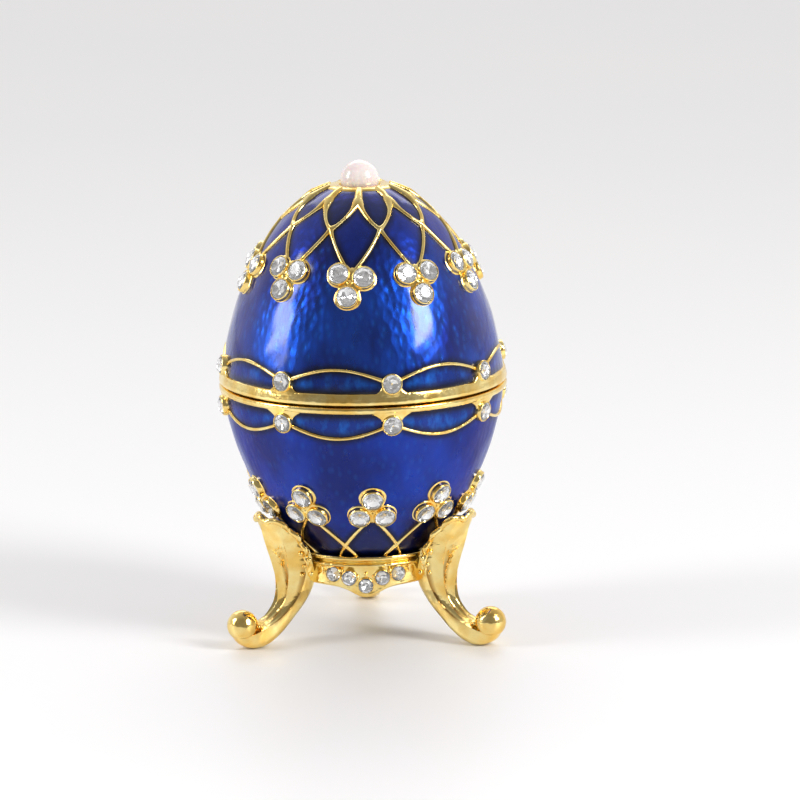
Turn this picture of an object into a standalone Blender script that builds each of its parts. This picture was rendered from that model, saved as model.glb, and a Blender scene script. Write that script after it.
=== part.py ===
"""Jewelled egg trinket box: an enamelled egg that opens at its middle, on a gold stand with three legs.

Metres, +Z up. Every piece hangs on one empty at the egg's axis, and an azimuth of 0 faces -Y.
The stand carries the bowl, the bowl carries the lid, and the lid carries the pearl.
"""

import math

import bmesh
import bpy
import numpy as np
from mathutils import Matrix, Vector

# Egg
SEAM_RADIUS = 0.0211        # enamel radius where lid and bowl meet
LID_LENGTH = 0.0301         # from the seam to where the lid's curve would close
LID_BELLY = 1.64            # fullness of the lid near the seam
LID_CROWN = 0.475           # bluntness of the lid near its top
BOWL_LENGTH = 0.0313
BOWL_BELLY = 1.6
BOWL_CROWN = 0.587
BOWL_BASE_RADIUS = 0.0030   # flat under the bowl
WALL = 0.0015
RIM_PROUD = 0.0005          # how far the gold rims stand out of the enamel
RIM_TAPER = 0.8             # share of that at the edge away from the seam
RIM_BEVEL = 0.0003
LID_RIM_HEIGHT = 0.0017
BOWL_RIM_HEIGHT = 0.0011
LIP_HEIGHT = 0.0020         # the bowl's inner lip, above the seam
LIP_WALL = 0.0009
SHOULDER_RISE = 1.2         # straight bore beside the lip, as a share of the lip's height
FLOOR_SHARE = 1.3           # thickness of the bowl's floor, as a share of the wall

# Clearances between touching pieces
SEAM_GAP = 0.0003
LIP_GAP = 0.0003
SEAT_GAP = 0.0003           # between egg and stand
STONE_GAP = 0.0003
PEARL_GAP = 0.0003

# Pearl and its cup
PEARL_RADIUS = 0.0029
CUP_RIM = 0.0008            # width of the gold rim round the pearl
PEARL_LIFT = 0.0007         # height of the pearl's centre over the cup's edge

# Stones
CLUSTER_STONE_RADIUS = 0.0015
BAND_STONE_RADIUS = 0.00135
APRON_STONE_RADIUS = 0.0011
BEZEL_WALL = 0.00045
BEZEL_HEIGHT = 0.00035
STONE_HEIGHT = 0.0006
TABLE_SHARE = 0.58          # table of a stone, as a share of its girdle
GIRDLE_SHARE = 0.4          # girdle of a fused stone, as a share of its height over the bezel
BEZEL_SHARE = 0.5           # share of the bezel's wall that a fused stone keeps
CLUSTER_COUNT = 10
BAND_COUNT = 8
LID_CLUSTER_TURN = -5.3     # azimuth of the first cluster, in degrees
BOWL_CLUSTER_TURN = 4.2
BAND_TURN = 11.84
LID_CLUSTER_HEIGHT = 0.0176     # middle of a lid cluster, above the seam
BOWL_CLUSTER_HEIGHT = -0.0170
CLUSTER_SPREAD = 0.00215    # from a cluster's middle to each of its three stones
BAND_LID_HEIGHT = 0.0032
BAND_BOWL_HEIGHT = -0.0028

# Raised gold lines
LINE_RADIUS = 0.00030
SCALLOP_RISE = 0.0021       # from the band stones to the top of each arch
LID_NODE_HEIGHT = 0.0245    # where the petals end and the diamonds cross, above the seam
BOWL_NODE_HEIGHT = -0.0229
PETAL_FORK_RADIUS = 0.0072  # from the egg's axis to where the line between two petals forks
SPOKE_RADIUS = 0.00042      # that line, thicker than the rest
PETAL_BOW = 0.8             # power that bows the petals' sides outwards
PETAL_STEPS = 3
DIAMOND_STEPS = 2
ARCH_STEPS = 5

# Stand
RING_TOP_Z = 0.0140
RING_RADIUS = 0.0115
RING_LIP = 0.0006           # thickness of the ring's edge beside the egg
RING_BORE_RADIUS = 0.0094
RING_FACE_INSET = 0.0004    # the apron's face, in from the top moulding
RING_BORE_RISE = 0.0003     # lower edge at the bore, over the edge in front
# the moulding's corners: inset from the ring's radius, and drop from its top
RING_MOULDING = ((0, 0), (0, 0.0008), (0.0004, 0.0010), (0.0002, 0.0015), (0.0004, 0.0018))
APRON_SIDE_Z = 0.0093       # lower edge of an apron beside the legs
APRON_TIP_Z = 0.0077
APRON_TIP_ANGLE = 14.0      # half width of an apron's point, in degrees
APRON_STONE_ANGLE = 12.6    # between neighbouring apron stones
APRON_STONES = 5
APRON_TAPER = 0.0002        # the face leans in by this at its lower edge
APRON_SEAT = 0.0006         # from the ring's radius in to the surface that carries the apron stones
APRON_STONE_TOP_Z = 0.0112
APRON_STONE_DROP = 0.0016   # how far the middle stone sits below the outer ones
LEG_COUNT = 3
LEG_TURN = 60.0             # azimuth of the first leg
LEAF_TIP_Z = 0.0199
FOOT_RADIUS = 0.0214        # from the egg's axis to the middle of a ball foot
BALL_RADIUS = 0.0024
BALL_Z = 0.0040
LEG_WIDTH = 0.0078          # leaf at its widest
FLUTE_DEPTH = 0.00035
LEAF_NOTCH = 0.1            # cut between the lobes along a leaf's edge, as a share of its half width
SHOULDER_SHARE = 0.75       # depth of a leg's side, as a share of its thickness
FLUTE_END = 8               # station at which the flutes run out
FLOOR_CURL = 0.25           # share of the curl left on a leg's inner face

# Mesh fineness
TURN_STEPS = 28
WALL_ROWS = 8
INNER_ROWS = 5
STONE_SIDES = 6
RING_STEPS = 42
LEAF_STATIONS = 4            # stations of the leg that take an extra section below them
KEPT_SHARE = 0.77           # of a joined piece's triangles, once its slivers are merged

# One row for each station down a leg, from the leaf's tip to the foot. Reach is a share of the way from the
# ring to the ball, height a share of the leaf tip's height, and width a share of LEG_WIDTH / 2. Curl is how
# far the edges bend in towards the egg, as a share of the half width there.
LEG_STATIONS = (
    # outer reach, outer height, inner reach, inner height, outer width, inner width, curl
    (0.68, 1.000, 0.62, 0.990, 0.17, 0.14, 0.30),
    (0.64, 0.935, 0.53, 0.910, 0.62, 0.54, 0.50),
    (0.57, 0.850, 0.43, 0.815, 0.92, 0.82, 0.62),
    (0.48, 0.750, 0.29, 0.725, 1.00, 0.86, 0.75),
    (0.41, 0.643, 0.00, 0.640, 0.92, 0.72, 0.80),
    (0.37, 0.533, -0.12, 0.545, 0.80, 0.62, 0.75),
    (0.36, 0.422, -0.10, 0.430, 0.69, 0.58, 0.60),
    (0.40, 0.322, 0.02, 0.328, 0.60, 0.54, 0.40),
    (0.51, 0.241, 0.18, 0.228, 0.55, 0.51, 0.25),
    (0.65, 0.181, 0.37, 0.116, 0.52, 0.49, 0.12),
    (0.79, 0.145, 0.62, 0.000, 0.50, 0.47, 0.00),
    (0.92, 0.136, 0.87, 0.000, 0.47, 0.44, 0.00),
    (1.06, 0.131, 1.10, 0.060, 0.40, 0.36, 0.00),
)


def lower_depth(radius):
    """Depth under the seam at which the bowl has this radius."""
    share = 1 - (radius / SEAM_RADIUS) ** (1 / BOWL_CROWN)
    return BOWL_LENGTH * share ** (1 / BOWL_BELLY)


def upper_height(radius):
    """Height over the seam at which the lid has this radius."""
    share = 1 - (radius / SEAM_RADIUS) ** (1 / LID_CROWN)
    return LID_LENGTH * share ** (1 / LID_BELLY)


SEAM_Z = RING_TOP_Z + lower_depth(RING_RADIUS - RING_LIP - SEAT_GAP)
CUP_RADIUS = PEARL_RADIUS + PEARL_GAP + CUP_RIM
CUP_EDGE_Z = SEAM_Z + upper_height(CUP_RADIUS)
PEARL_Z = CUP_EDGE_Z + PEARL_LIFT
BASE_Z = SEAM_Z - lower_depth(BOWL_BASE_RADIUS)
STONE_LIFT = BEZEL_HEIGHT + STONE_GAP
BAND_REACH = SEAM_RADIUS + STONE_LIFT + STONE_HEIGHT
AXIS_Y = (BAND_REACH * math.cos(math.radians(BAND_TURN)) - FOOT_RADIUS - BALL_RADIUS) / 2


def egg_radius(z):
    """Radius of the enamel at a height: each half is a circle's radius times (1 - t**belly)**crown."""
    if z >= SEAM_Z:
        t = min((z - SEAM_Z) / LID_LENGTH, 1.0)
        return SEAM_RADIUS * (1 - t ** LID_BELLY) ** LID_CROWN
    t = min((SEAM_Z - z) / BOWL_LENGTH, 1.0)
    return SEAM_RADIUS * (1 - t ** BOWL_BELLY) ** BOWL_CROWN


def around(azimuth, radius, z):
    """Point at an azimuth in degrees, with 0 facing -Y."""
    angle = math.radians(azimuth)
    return Vector((radius * math.sin(angle), -radius * math.cos(angle), z))


def surface_frame(azimuth, z):
    """Frame on the enamel: X along the girth, Y up the egg, Z outwards."""
    step = 0.0001
    slope = (egg_radius(z + step) - egg_radius(z - step)) / (2 * step)
    outwards = around(azimuth, 1, -slope).normalized()
    girth = Vector((math.cos(math.radians(azimuth)), math.sin(math.radians(azimuth)), 0))
    upwards = outwards.cross(girth)
    frame = Matrix((girth, upwards, outwards)).transposed().to_4x4()
    frame.translation = around(azimuth, egg_radius(z), z)
    return frame


def clear_scene():
    for obj in list(bpy.data.objects):
        bpy.data.objects.remove(obj, do_unlink=True)
    for collection in list(bpy.data.collections):
        bpy.data.collections.remove(collection)


def new_collection(name):
    collection = bpy.data.collections.new(name)
    bpy.context.scene.collection.children.link(collection)
    return collection


def material(name, colour, roughness, metallic=0.0, transmission=0.0):
    mat = bpy.data.materials.new(name)
    mat.use_nodes = True
    shader = mat.node_tree.nodes["Principled BSDF"]
    shader.inputs["Base Color"].default_value = (*colour, 1.0)
    shader.inputs["Roughness"].default_value = roughness
    shader.inputs["Metallic"].default_value = metallic
    shader.inputs["Transmission Weight"].default_value = transmission
    return mat


def add_object(name, mesh, collection, axis, matrix=None):
    obj = bpy.data.objects.new(name, mesh)
    collection.objects.link(obj)
    obj.parent = axis
    if matrix is not None:
        obj.matrix_local = matrix
    return obj


def make_hidden(obj):
    obj.hide_render = True
    obj.display_type = "WIRE"


def profile_mesh(name, points):
    mesh = bpy.data.meshes.new(name)
    vertices = [(radius, 0, z) for radius, z in points]
    mesh.from_pydata(vertices, [(i, i + 1) for i in range(len(points) - 1)], [])
    return mesh


def turn(obj, steps):
    """Turn a profile round the object's Z axis."""
    screw = obj.modifiers.new("Turned", "SCREW")
    screw.steps = steps
    screw.render_steps = steps
    screw.use_merge_vertices = True
    screw.merge_threshold = 0.00001
    screw.use_smooth_shade = True


def join_with(obj, collection, operation="UNION"):
    boolean = obj.modifiers.new(operation.title(), "BOOLEAN")
    boolean.operation = operation
    boolean.operand_type = "COLLECTION"
    boolean.collection = collection
    boolean.solver = "EXACT"
    boolean.use_self = True


def thin_out(obj, share):
    """Merge the slivers that the unions leave, down to a share of the triangles."""
    decimate = obj.modifiers.new("Thinned", "DECIMATE")
    decimate.decimate_type = "COLLAPSE"
    decimate.ratio = share


def cone(name, lower_radius, upper_radius, low, high, sides, collection, axis, frame):
    """Closed cone or disc standing along a frame's Z axis, from low to high."""
    mesh = bpy.data.meshes.new(name)
    bm = bmesh.new()
    middle = Matrix.Translation((0, 0, (low + high) / 2))
    bmesh.ops.create_cone(bm, cap_ends=True, segments=sides, radius1=lower_radius, radius2=upper_radius,
                          depth=high - low, matrix=middle)
    bm.to_mesh(mesh)
    bm.free()
    obj = add_object(name, mesh, collection, axis, frame)
    make_hidden(obj)
    return obj


def gold_line(name, points, collection, axis, radius=LINE_RADIUS, closed=True):
    """Raised line through points, as a four-sided tube made into a mesh."""
    curve = bpy.data.curves.new(name, "CURVE")
    curve.dimensions = "3D"
    curve.bevel_depth = radius
    curve.bevel_resolution = 0
    spline = curve.splines.new("POLY")
    spline.points.add(len(points) - 1)
    for slot, point in zip(spline.points, points):
        slot.co = (*point, 1)
    spline.use_cyclic_u = closed
    curve.use_fill_caps = not closed
    tube = add_object(name + "_curve", curve, collection, axis)
    bpy.context.view_layer.update()
    graph = bpy.context.evaluated_depsgraph_get()
    mesh = bpy.data.meshes.new_from_object(tube.evaluated_get(graph))
    bm = bmesh.new()
    bm.from_mesh(mesh)
    bmesh.ops.remove_doubles(bm, verts=bm.verts, dist=0.00001)
    bm.to_mesh(mesh)
    bm.free()
    place = tube.matrix_world.copy()
    bpy.data.objects.remove(tube)
    obj = add_object(name, mesh, collection, axis)
    obj.matrix_world = place
    make_hidden(obj)
    return obj


def on_egg(azimuth, z):
    return surface_frame(azimuth, z).translation


def petal_line(first, fork_z, node_z):
    """The petals' sides, from fork to node to fork round the egg. They bow out as (1 - t)**PETAL_BOW."""
    half = 180 / CLUSTER_COUNT
    points = []
    for number in range(CLUSTER_COUNT):
        node = first + half * (2 * number + 1)
        shares = [step / PETAL_STEPS for step in range(PETAL_STEPS)]
        for t in shares:
            points.append(on_egg(node - half * (1 - t) ** PETAL_BOW, fork_z + t * (node_z - fork_z)))
        for t in [1.0] + shares[:0:-1]:
            points.append(on_egg(node + half * (1 - t) ** PETAL_BOW, fork_z + t * (node_z - fork_z)))
    return points


def diamond_line(first, cluster_z, node_z):
    """Zigzag round the egg between the clusters and the nodes half way between them."""
    half = 180 / CLUSTER_COUNT
    points = []
    for corner in range(2 * CLUSTER_COUNT):
        start_z, end_z = (cluster_z, node_z) if corner % 2 == 0 else (node_z, cluster_z)
        for step in range(DIAMOND_STEPS):
            share = step / DIAMOND_STEPS
            points.append(on_egg(first + half * (corner + share), start_z + share * (end_z - start_z)))
    return points


def scallop_line(stone_z, rise):
    """Arches from stone to stone round the egg, each half a sine wave."""
    pitch = 360 / BAND_COUNT
    points = []
    for stone in range(BAND_COUNT):
        for step in range(ARCH_STEPS):
            share = step / ARCH_STEPS
            z = stone_z + rise * math.sin(math.pi * share)
            points.append(on_egg(BAND_TURN + pitch * (stone + share), z))
    return points


def cluster_places(turn_angle, height, direction):
    """Frames of the three stones of every cluster: two towards the lattice, one away from it."""
    places = []
    middle_z = SEAM_Z + height
    girth = egg_radius(middle_z)
    rise = surface_frame(turn_angle, middle_z).col[1][2]
    for number in range(CLUSTER_COUNT):
        azimuth = turn_angle + 360 / CLUSTER_COUNT * number
        for stone, angle in enumerate((-90, 30, 150)):
            across = CLUSTER_SPREAD * math.cos(math.radians(angle))
            along = CLUSTER_SPREAD * math.sin(math.radians(angle)) * direction
            z = middle_z + along * rise
            places.append((number, stone, surface_frame(azimuth + math.degrees(across / girth), z)))
    return places


def band_places(height):
    pitch = 360 / BAND_COUNT
    return [surface_frame(BAND_TURN + pitch * number, SEAM_Z + height) for number in range(BAND_COUNT)]


def stone_profile(radius):
    """Flat-backed crown, from the table down to the back."""
    top = STONE_LIFT + STONE_HEIGHT
    return [(0, top), (radius * TABLE_SHARE, top), (radius, STONE_LIFT), (0, STONE_LIFT)]


def make_stone(name, mesh, frame, collection, axis):
    obj = add_object(name, mesh, collection, axis, frame)
    turn(obj, STONE_SIDES)
    return obj


def fused_stone(name, radius, frame, collection, axis):
    """Bezel and stone in one: a disc with a crown on it."""
    edge = radius + BEZEL_WALL * BEZEL_SHARE
    girdle = BEZEL_HEIGHT + STONE_HEIGHT * GIRDLE_SHARE
    top = STONE_LIFT + STONE_HEIGHT
    points = [(0, top), (radius * TABLE_SHARE, top), (edge, girdle), (edge, -WALL / 2), (0, -WALL / 2)]
    obj = add_object(name, profile_mesh(name, points), collection, axis, frame)
    turn(obj, STONE_SIDES)
    make_hidden(obj)
    return obj


def bezel(name, radius, frame, collection, axis):
    edge = radius + BEZEL_WALL
    return cone(name, edge, edge, -WALL / 2, BEZEL_HEIGHT, STONE_SIDES, collection, axis, frame)


def wall_curve(start, end, count, inset=0.0):
    """Points down the egg between two heights, moved inwards along the surface normal."""
    points = []
    for step in range(count + 1):
        z = start + (end - start) * math.sin(math.pi / 2 * step / count)
        frame = surface_frame(0, z)
        normal = frame.col[2]
        points.append((-frame.translation.y + normal[1] * inset, z - normal[2] * inset))
    return points


def lid_profile():
    """From the pearl's cup over the edge, down the outside to the seam and up the inside."""
    sphere = PEARL_RADIUS + PEARL_GAP
    low = -90
    high = math.degrees(math.asin((CUP_EDGE_Z - PEARL_Z) / sphere))
    cup = []
    for step in range(4):
        angle = math.radians(low + (high - low) * step / 3)
        cup.append((sphere * math.cos(angle), PEARL_Z + sphere * math.sin(angle)))
    cup[0] = (0, PEARL_Z - sphere)
    rim_top = SEAM_Z + LID_RIM_HEIGHT
    outside = wall_curve(rim_top, CUP_EDGE_Z, WALL_ROWS)[::-1]
    foot = SEAM_Z + SEAM_GAP / 2
    rim = [(SEAM_RADIUS + RIM_PROUD * RIM_TAPER, rim_top - RIM_BEVEL), (SEAM_RADIUS + RIM_PROUD, foot)]
    bore = SEAM_RADIUS - WALL
    ceiling = PEARL_Z - sphere - WALL
    inside = [(bore, foot)]
    shoulder = foot + LIP_HEIGHT * SHOULDER_RISE
    for step in range(INNER_ROWS + 1):
        t = math.sin(math.pi / 2 * step / INNER_ROWS)
        inside.append((bore * (1 - t ** LID_BELLY) ** LID_CROWN, shoulder + (ceiling - shoulder) * t))
    inside[-1] = (0, ceiling)
    return cup + outside + rim + inside


def bowl_profile():
    """From the floor inside up to the lip, over it, and down the outside to the base."""
    lip_outer = SEAM_RADIUS - WALL - LIP_GAP
    lip_inner = lip_outer - LIP_WALL
    floor = BASE_Z + WALL * FLOOR_SHARE
    ledge = SEAM_Z - SEAM_GAP / 2
    shoulder = ledge - LIP_HEIGHT * SHOULDER_RISE
    length = shoulder - floor
    inside = []
    for step in range(INNER_ROWS + 1):
        t = math.sin(math.pi / 2 * (1 - step / INNER_ROWS))
        inside.append((lip_inner * (1 - t ** BOWL_BELLY) ** BOWL_CROWN, shoulder - length * t))
    inside[0] = (0, floor)
    lip = [(lip_inner, ledge + LIP_HEIGHT), (lip_outer, ledge + LIP_HEIGHT), (lip_outer, ledge)]
    rim_foot = SEAM_Z - BOWL_RIM_HEIGHT
    rim = [(SEAM_RADIUS + RIM_PROUD, ledge), (SEAM_RADIUS + RIM_PROUD * RIM_TAPER, rim_foot + RIM_BEVEL)]
    outside = wall_curve(rim_foot, BASE_Z, WALL_ROWS)
    return inside + lip + rim + outside + [(0, BASE_Z)]


def make_lid(parts, trims, axis, gold):
    lid = add_object("lid", profile_mesh("lid", lid_profile()), parts, axis)
    turn(lid, TURN_STEPS)
    node_z = SEAM_Z + LID_NODE_HEIGHT
    fork_z = SEAM_Z + upper_height(PETAL_FORK_RADIUS)
    for number in range(CLUSTER_COUNT):
        azimuth = LID_CLUSTER_TURN + 360 / CLUSTER_COUNT * number
        ends = (CUP_EDGE_Z + LINE_RADIUS / 2, (CUP_EDGE_Z + fork_z) / 2, fork_z - LINE_RADIUS)
        spoke = [on_egg(azimuth, z) for z in ends]
        gold_line(f"spoke_{number + 1}", spoke, trims, axis, SPOKE_RADIUS, closed=False)
    gold_line("petals", petal_line(LID_CLUSTER_TURN, fork_z, node_z + LINE_RADIUS / 2), trims, axis)
    top_z = SEAM_Z + LID_CLUSTER_HEIGHT + CLUSTER_SPREAD / 2
    gold_line("lid_diamonds", diamond_line(LID_CLUSTER_TURN, top_z, node_z), trims, axis)
    gold_line("lid_scallops", scallop_line(SEAM_Z + BAND_LID_HEIGHT, SCALLOP_RISE), trims, axis)
    for number, stone, frame in cluster_places(LID_CLUSTER_TURN, LID_CLUSTER_HEIGHT, 1):
        bezel(f"lid_bezel_{number + 1}_{stone + 1}", CLUSTER_STONE_RADIUS, frame, trims, axis)
    for number, frame in enumerate(band_places(BAND_LID_HEIGHT)):
        bezel(f"lid_band_bezel_{number + 1}", BAND_STONE_RADIUS, frame, trims, axis)
    join_with(lid, trims)
    thin_out(lid, KEPT_SHARE)
    lid.data.materials.append(gold)
    return lid


def make_bowl(parts, trims, axis, enamel):
    bowl = add_object("bowl", profile_mesh("bowl", bowl_profile()), parts, axis)
    turn(bowl, TURN_STEPS)
    node_z = SEAM_Z + BOWL_NODE_HEIGHT
    low_z = SEAM_Z + BOWL_CLUSTER_HEIGHT - CLUSTER_SPREAD / 2
    gold_line("bowl_diamonds", diamond_line(BOWL_CLUSTER_TURN, low_z, node_z), trims, axis)
    gold_line("bowl_scallops", scallop_line(SEAM_Z + BAND_BOWL_HEIGHT, -SCALLOP_RISE), trims, axis)
    for number, stone, frame in cluster_places(BOWL_CLUSTER_TURN, BOWL_CLUSTER_HEIGHT, -1):
        fused_stone(f"bowl_cluster_{number + 1}_{stone + 1}", CLUSTER_STONE_RADIUS, frame, trims, axis)
    for number, frame in enumerate(band_places(BAND_BOWL_HEIGHT)):
        bezel(f"bowl_band_bezel_{number + 1}", BAND_STONE_RADIUS, frame, trims, axis)
    join_with(bowl, trims)
    thin_out(bowl, KEPT_SHARE)
    bowl.data.materials.append(enamel)
    return bowl


def apron_angle(azimuth):
    """Degrees from the middle of the nearest apron."""
    pitch = 360 / LEG_COUNT
    middle = LEG_TURN + pitch / 2
    return (azimuth - middle + pitch / 2) % pitch - pitch / 2


def apron_edge(azimuth):
    """Height of an apron's lower edge: level beside the legs, with a soft point in the middle."""
    point = math.exp(-(apron_angle(azimuth) / APRON_TIP_ANGLE) ** 2)
    return APRON_SIDE_Z - (APRON_SIDE_Z - APRON_TIP_Z) * point


def ring_mesh():
    """Stepped ring with three aprons: one closed section, whose lower edge follows apron_edge."""
    moulding = [(RING_RADIUS - inset, RING_TOP_Z - drop) for inset, drop in RING_MOULDING]
    rows = []
    for step in range(RING_STEPS):
        azimuth = 360 / RING_STEPS * step
        edge = apron_edge(azimuth)
        section = [
            (RING_BORE_RADIUS, RING_TOP_Z), *moulding,
            (RING_RADIUS - RING_FACE_INSET - APRON_TAPER, edge), (RING_BORE_RADIUS, edge + RING_BORE_RISE),
        ]
        rows.append([around(azimuth, radius, z) for radius, z in section])
    return grid_mesh("stand", rows, closed=True)


def grid_mesh(name, rows, closed=False):
    """Loft through rows of equal length: each row is a closed section, and the ends are capped or joined."""
    bm = bmesh.new()
    loops = [[bm.verts.new(point) for point in row] for row in rows]
    count = len(rows[0])
    pairs = list(zip(loops, loops[1:]))
    if closed:
        pairs.append((loops[-1], loops[0]))
    for here, there in pairs:
        for k in range(count):
            nxt = (k + 1) % count
            bm.faces.new((here[k], there[k], there[nxt], here[nxt]))
    if not closed:
        bm.faces.new(loops[0])
        bm.faces.new(loops[-1][::-1])
    bmesh.ops.recalc_face_normals(bm, faces=bm.faces)
    mesh = bpy.data.meshes.new(name)
    bm.to_mesh(mesh)
    bm.free()
    return mesh


def leg_sections():
    """Sections down one leg at azimuth 0: a fluted outer face and a narrow inner face, between two rails."""
    stations = np.array(LEG_STATIONS)
    places = np.sort(np.append(np.arange(len(stations)), np.arange(1, LEAF_STATIONS) + 0.5))
    columns = [np.interp(places, range(len(stations)), stations[:, k]) for k in range(stations.shape[1])]
    reach = FOOT_RADIUS - RING_RADIUS
    across = (-1, -2 / 3, -1 / 3, 0, 1 / 3, 2 / 3, 1)
    rows = []
    for place, outer_r, outer_z, inner_r, inner_z, outer_w, inner_w, curl in zip(places, *columns):
        outer = np.array((RING_RADIUS + outer_r * reach, outer_z * LEAF_TIP_Z))
        inner = np.array((RING_RADIUS + inner_r * reach, inner_z * LEAF_TIP_Z))
        thickness = np.linalg.norm(inner - outer)
        inwards = (inner - outer) / thickness
        flute = FLUTE_DEPTH * max(0.0, math.sin(math.pi * min(place / FLUTE_END, 1)))
        half_outer = outer_w * LEG_WIDTH / 2 * (1 - LEAF_NOTCH * (place % 1 > 0))
        half_inner = inner_w * LEG_WIDTH / 2
        section = []
        for k, u in enumerate(across):
            depth = curl * half_outer * u * u + (flute if k % 2 else 0)
            section.append((u * half_outer, *(outer + inwards * depth)))
        side = inwards * (thickness * SHOULDER_SHARE + curl * half_inner)
        floor = inwards * (thickness + curl * half_inner * FLOOR_CURL)
        for u, depth in ((1, side), (0.5, floor), (-0.5, floor), (-1, side)):
            section.append((u * half_inner, *(outer + depth)))
        rows.append([Vector((x, -radius, z)) for x, radius, z in section])
    return rows


def make_stand(parts, pieces, cutters, axis, gold):
    stand = add_object("stand", ring_mesh(), parts, axis)
    leg = grid_mesh("leg", leg_sections())
    for number in range(LEG_COUNT):
        azimuth = LEG_TURN + 360 / LEG_COUNT * number
        turned = Matrix.Rotation(math.radians(azimuth), 4, "Z")
        make_hidden(add_object(f"leg_{number + 1}", leg, pieces, axis, turned))
        mesh = bpy.data.meshes.new(f"ball_{number + 1}")
        bm = bmesh.new()
        bmesh.ops.create_uvsphere(bm, u_segments=10, v_segments=7, radius=BALL_RADIUS)
        bm.to_mesh(mesh)
        bm.free()
        place = Matrix.Translation(around(azimuth, FOOT_RADIUS, BALL_Z))
        make_hidden(add_object(f"ball_{number + 1}", mesh, pieces, axis, place))
        make_apron_stones(number, azimuth + 180 / LEG_COUNT, pieces, axis)
    join_with(stand, pieces)
    envelope = [(0, SEAM_Z)]
    for step in range(9):
        z = SEAM_Z - (SEAM_Z - BASE_Z) * math.sin(math.pi / 2 * step / 8)
        envelope.append((egg_radius(z) + SEAT_GAP, z))
    envelope += [(BOWL_BASE_RADIUS + SEAT_GAP, BASE_Z - SEAT_GAP), (0, BASE_Z - SEAT_GAP)]
    seat = add_object("egg_seat", profile_mesh("egg_seat", envelope), cutters, axis)
    turn(seat, RING_STEPS)
    make_hidden(seat)
    join_with(stand, cutters, "DIFFERENCE")
    thin_out(stand, KEPT_SHARE)
    stand.data.materials.append(gold)
    return stand


def make_apron_stones(number, middle, pieces, axis):
    """Stones in a shallow V along one apron."""
    half = APRON_STONES // 2
    for stone in range(-half, half + 1):
        azimuth = middle + stone * APRON_STONE_ANGLE
        share = 1 - (abs(stone) / half) ** 0.5
        z = APRON_STONE_TOP_Z - APRON_STONE_DROP * share
        outwards = around(azimuth, 1, 0)
        girth = Vector((math.cos(math.radians(azimuth)), math.sin(math.radians(azimuth)), 0))
        frame = Matrix((girth, Vector((0, 0, 1)), outwards)).transposed().to_4x4()
        frame.translation = around(azimuth, RING_RADIUS - APRON_SEAT, z)
        name = f"apron_stone_{number + 1}_{stone + half + 1}"
        fused_stone(name, APRON_STONE_RADIUS, frame, pieces, axis)


def make_pearl(parts, axis, lustre):
    mesh = bpy.data.meshes.new("pearl")
    bm = bmesh.new()
    bmesh.ops.create_uvsphere(bm, u_segments=14, v_segments=8, radius=PEARL_RADIUS)
    bm.to_mesh(mesh)
    bm.free()
    mesh.shade_smooth()
    mesh.materials.append(lustre)
    return add_object("pearl", mesh, parts, axis, Matrix.Translation((0, 0, PEARL_Z)))


def make_loose_stones(parts, axis, crystal):
    cluster_mesh = profile_mesh("cluster_stone", stone_profile(CLUSTER_STONE_RADIUS))
    band_mesh = profile_mesh("band_stone", stone_profile(BAND_STONE_RADIUS))
    for mesh in (cluster_mesh, band_mesh):
        mesh.materials.append(crystal)
    sides = ("low", "right", "left")
    for number, stone, frame in cluster_places(LID_CLUSTER_TURN, LID_CLUSTER_HEIGHT, 1):
        make_stone(f"lid_cluster_stone_{number + 1}_{sides[stone]}", cluster_mesh, frame, parts, axis)
    for label, height in (("lid", BAND_LID_HEIGHT), ("bowl", BAND_BOWL_HEIGHT)):
        for number, frame in enumerate(band_places(height)):
            make_stone(f"{label}_band_stone_{number + 1}", band_mesh, frame, parts, axis)


def main():
    clear_scene()
    parts = new_collection("jewelled_egg_trinket_box")
    lid_trims = new_collection("lid_trims")
    bowl_trims = new_collection("bowl_trims")
    stand_pieces = new_collection("stand_pieces")
    cutters = new_collection("cutters")
    axis = bpy.data.objects.new("egg_axis", None)
    parts.objects.link(axis)
    axis.location = (0, AXIS_Y, 0)
    bpy.context.view_layer.update()
    gold = material("polished_gold", (0.83, 0.55, 0.16), 0.2, metallic=1.0)
    enamel = material("cobalt_enamel", (0.01, 0.05, 0.42), 0.12)
    crystal = material("clear_crystal", (0.95, 0.96, 1.0), 0.03, transmission=1.0)
    lustre = material("pearl_lustre", (0.93, 0.87, 0.86), 0.25)
    make_stand(parts, stand_pieces, cutters, axis, gold)
    make_bowl(parts, bowl_trims, axis, enamel)
    make_lid(parts, lid_trims, axis, enamel)
    make_pearl(parts, axis, lustre)
    make_loose_stones(parts, axis, crystal)


main()
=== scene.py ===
import math

import bpy
import numpy as np
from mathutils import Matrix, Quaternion, Vector


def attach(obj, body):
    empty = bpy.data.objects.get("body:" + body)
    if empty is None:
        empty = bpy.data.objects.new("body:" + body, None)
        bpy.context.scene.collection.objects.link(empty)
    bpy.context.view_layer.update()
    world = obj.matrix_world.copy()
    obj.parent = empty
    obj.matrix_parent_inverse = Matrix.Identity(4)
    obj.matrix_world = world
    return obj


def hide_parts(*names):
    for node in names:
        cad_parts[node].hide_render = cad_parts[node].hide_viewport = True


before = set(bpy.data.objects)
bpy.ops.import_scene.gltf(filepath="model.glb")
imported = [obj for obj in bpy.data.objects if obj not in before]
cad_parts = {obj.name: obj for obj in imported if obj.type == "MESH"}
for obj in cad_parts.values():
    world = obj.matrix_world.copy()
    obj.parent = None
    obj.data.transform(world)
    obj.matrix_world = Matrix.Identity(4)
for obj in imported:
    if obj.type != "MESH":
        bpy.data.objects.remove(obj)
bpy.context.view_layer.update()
print("frame loaded:", len(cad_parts), "solids")

# All settings are in millimetres and degrees. Azimuth 0 faces the camera and grows to its right.
mm = 0.001
axisY = -0.96275  # the egg's axis stands a little in front of the frame's middle

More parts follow.
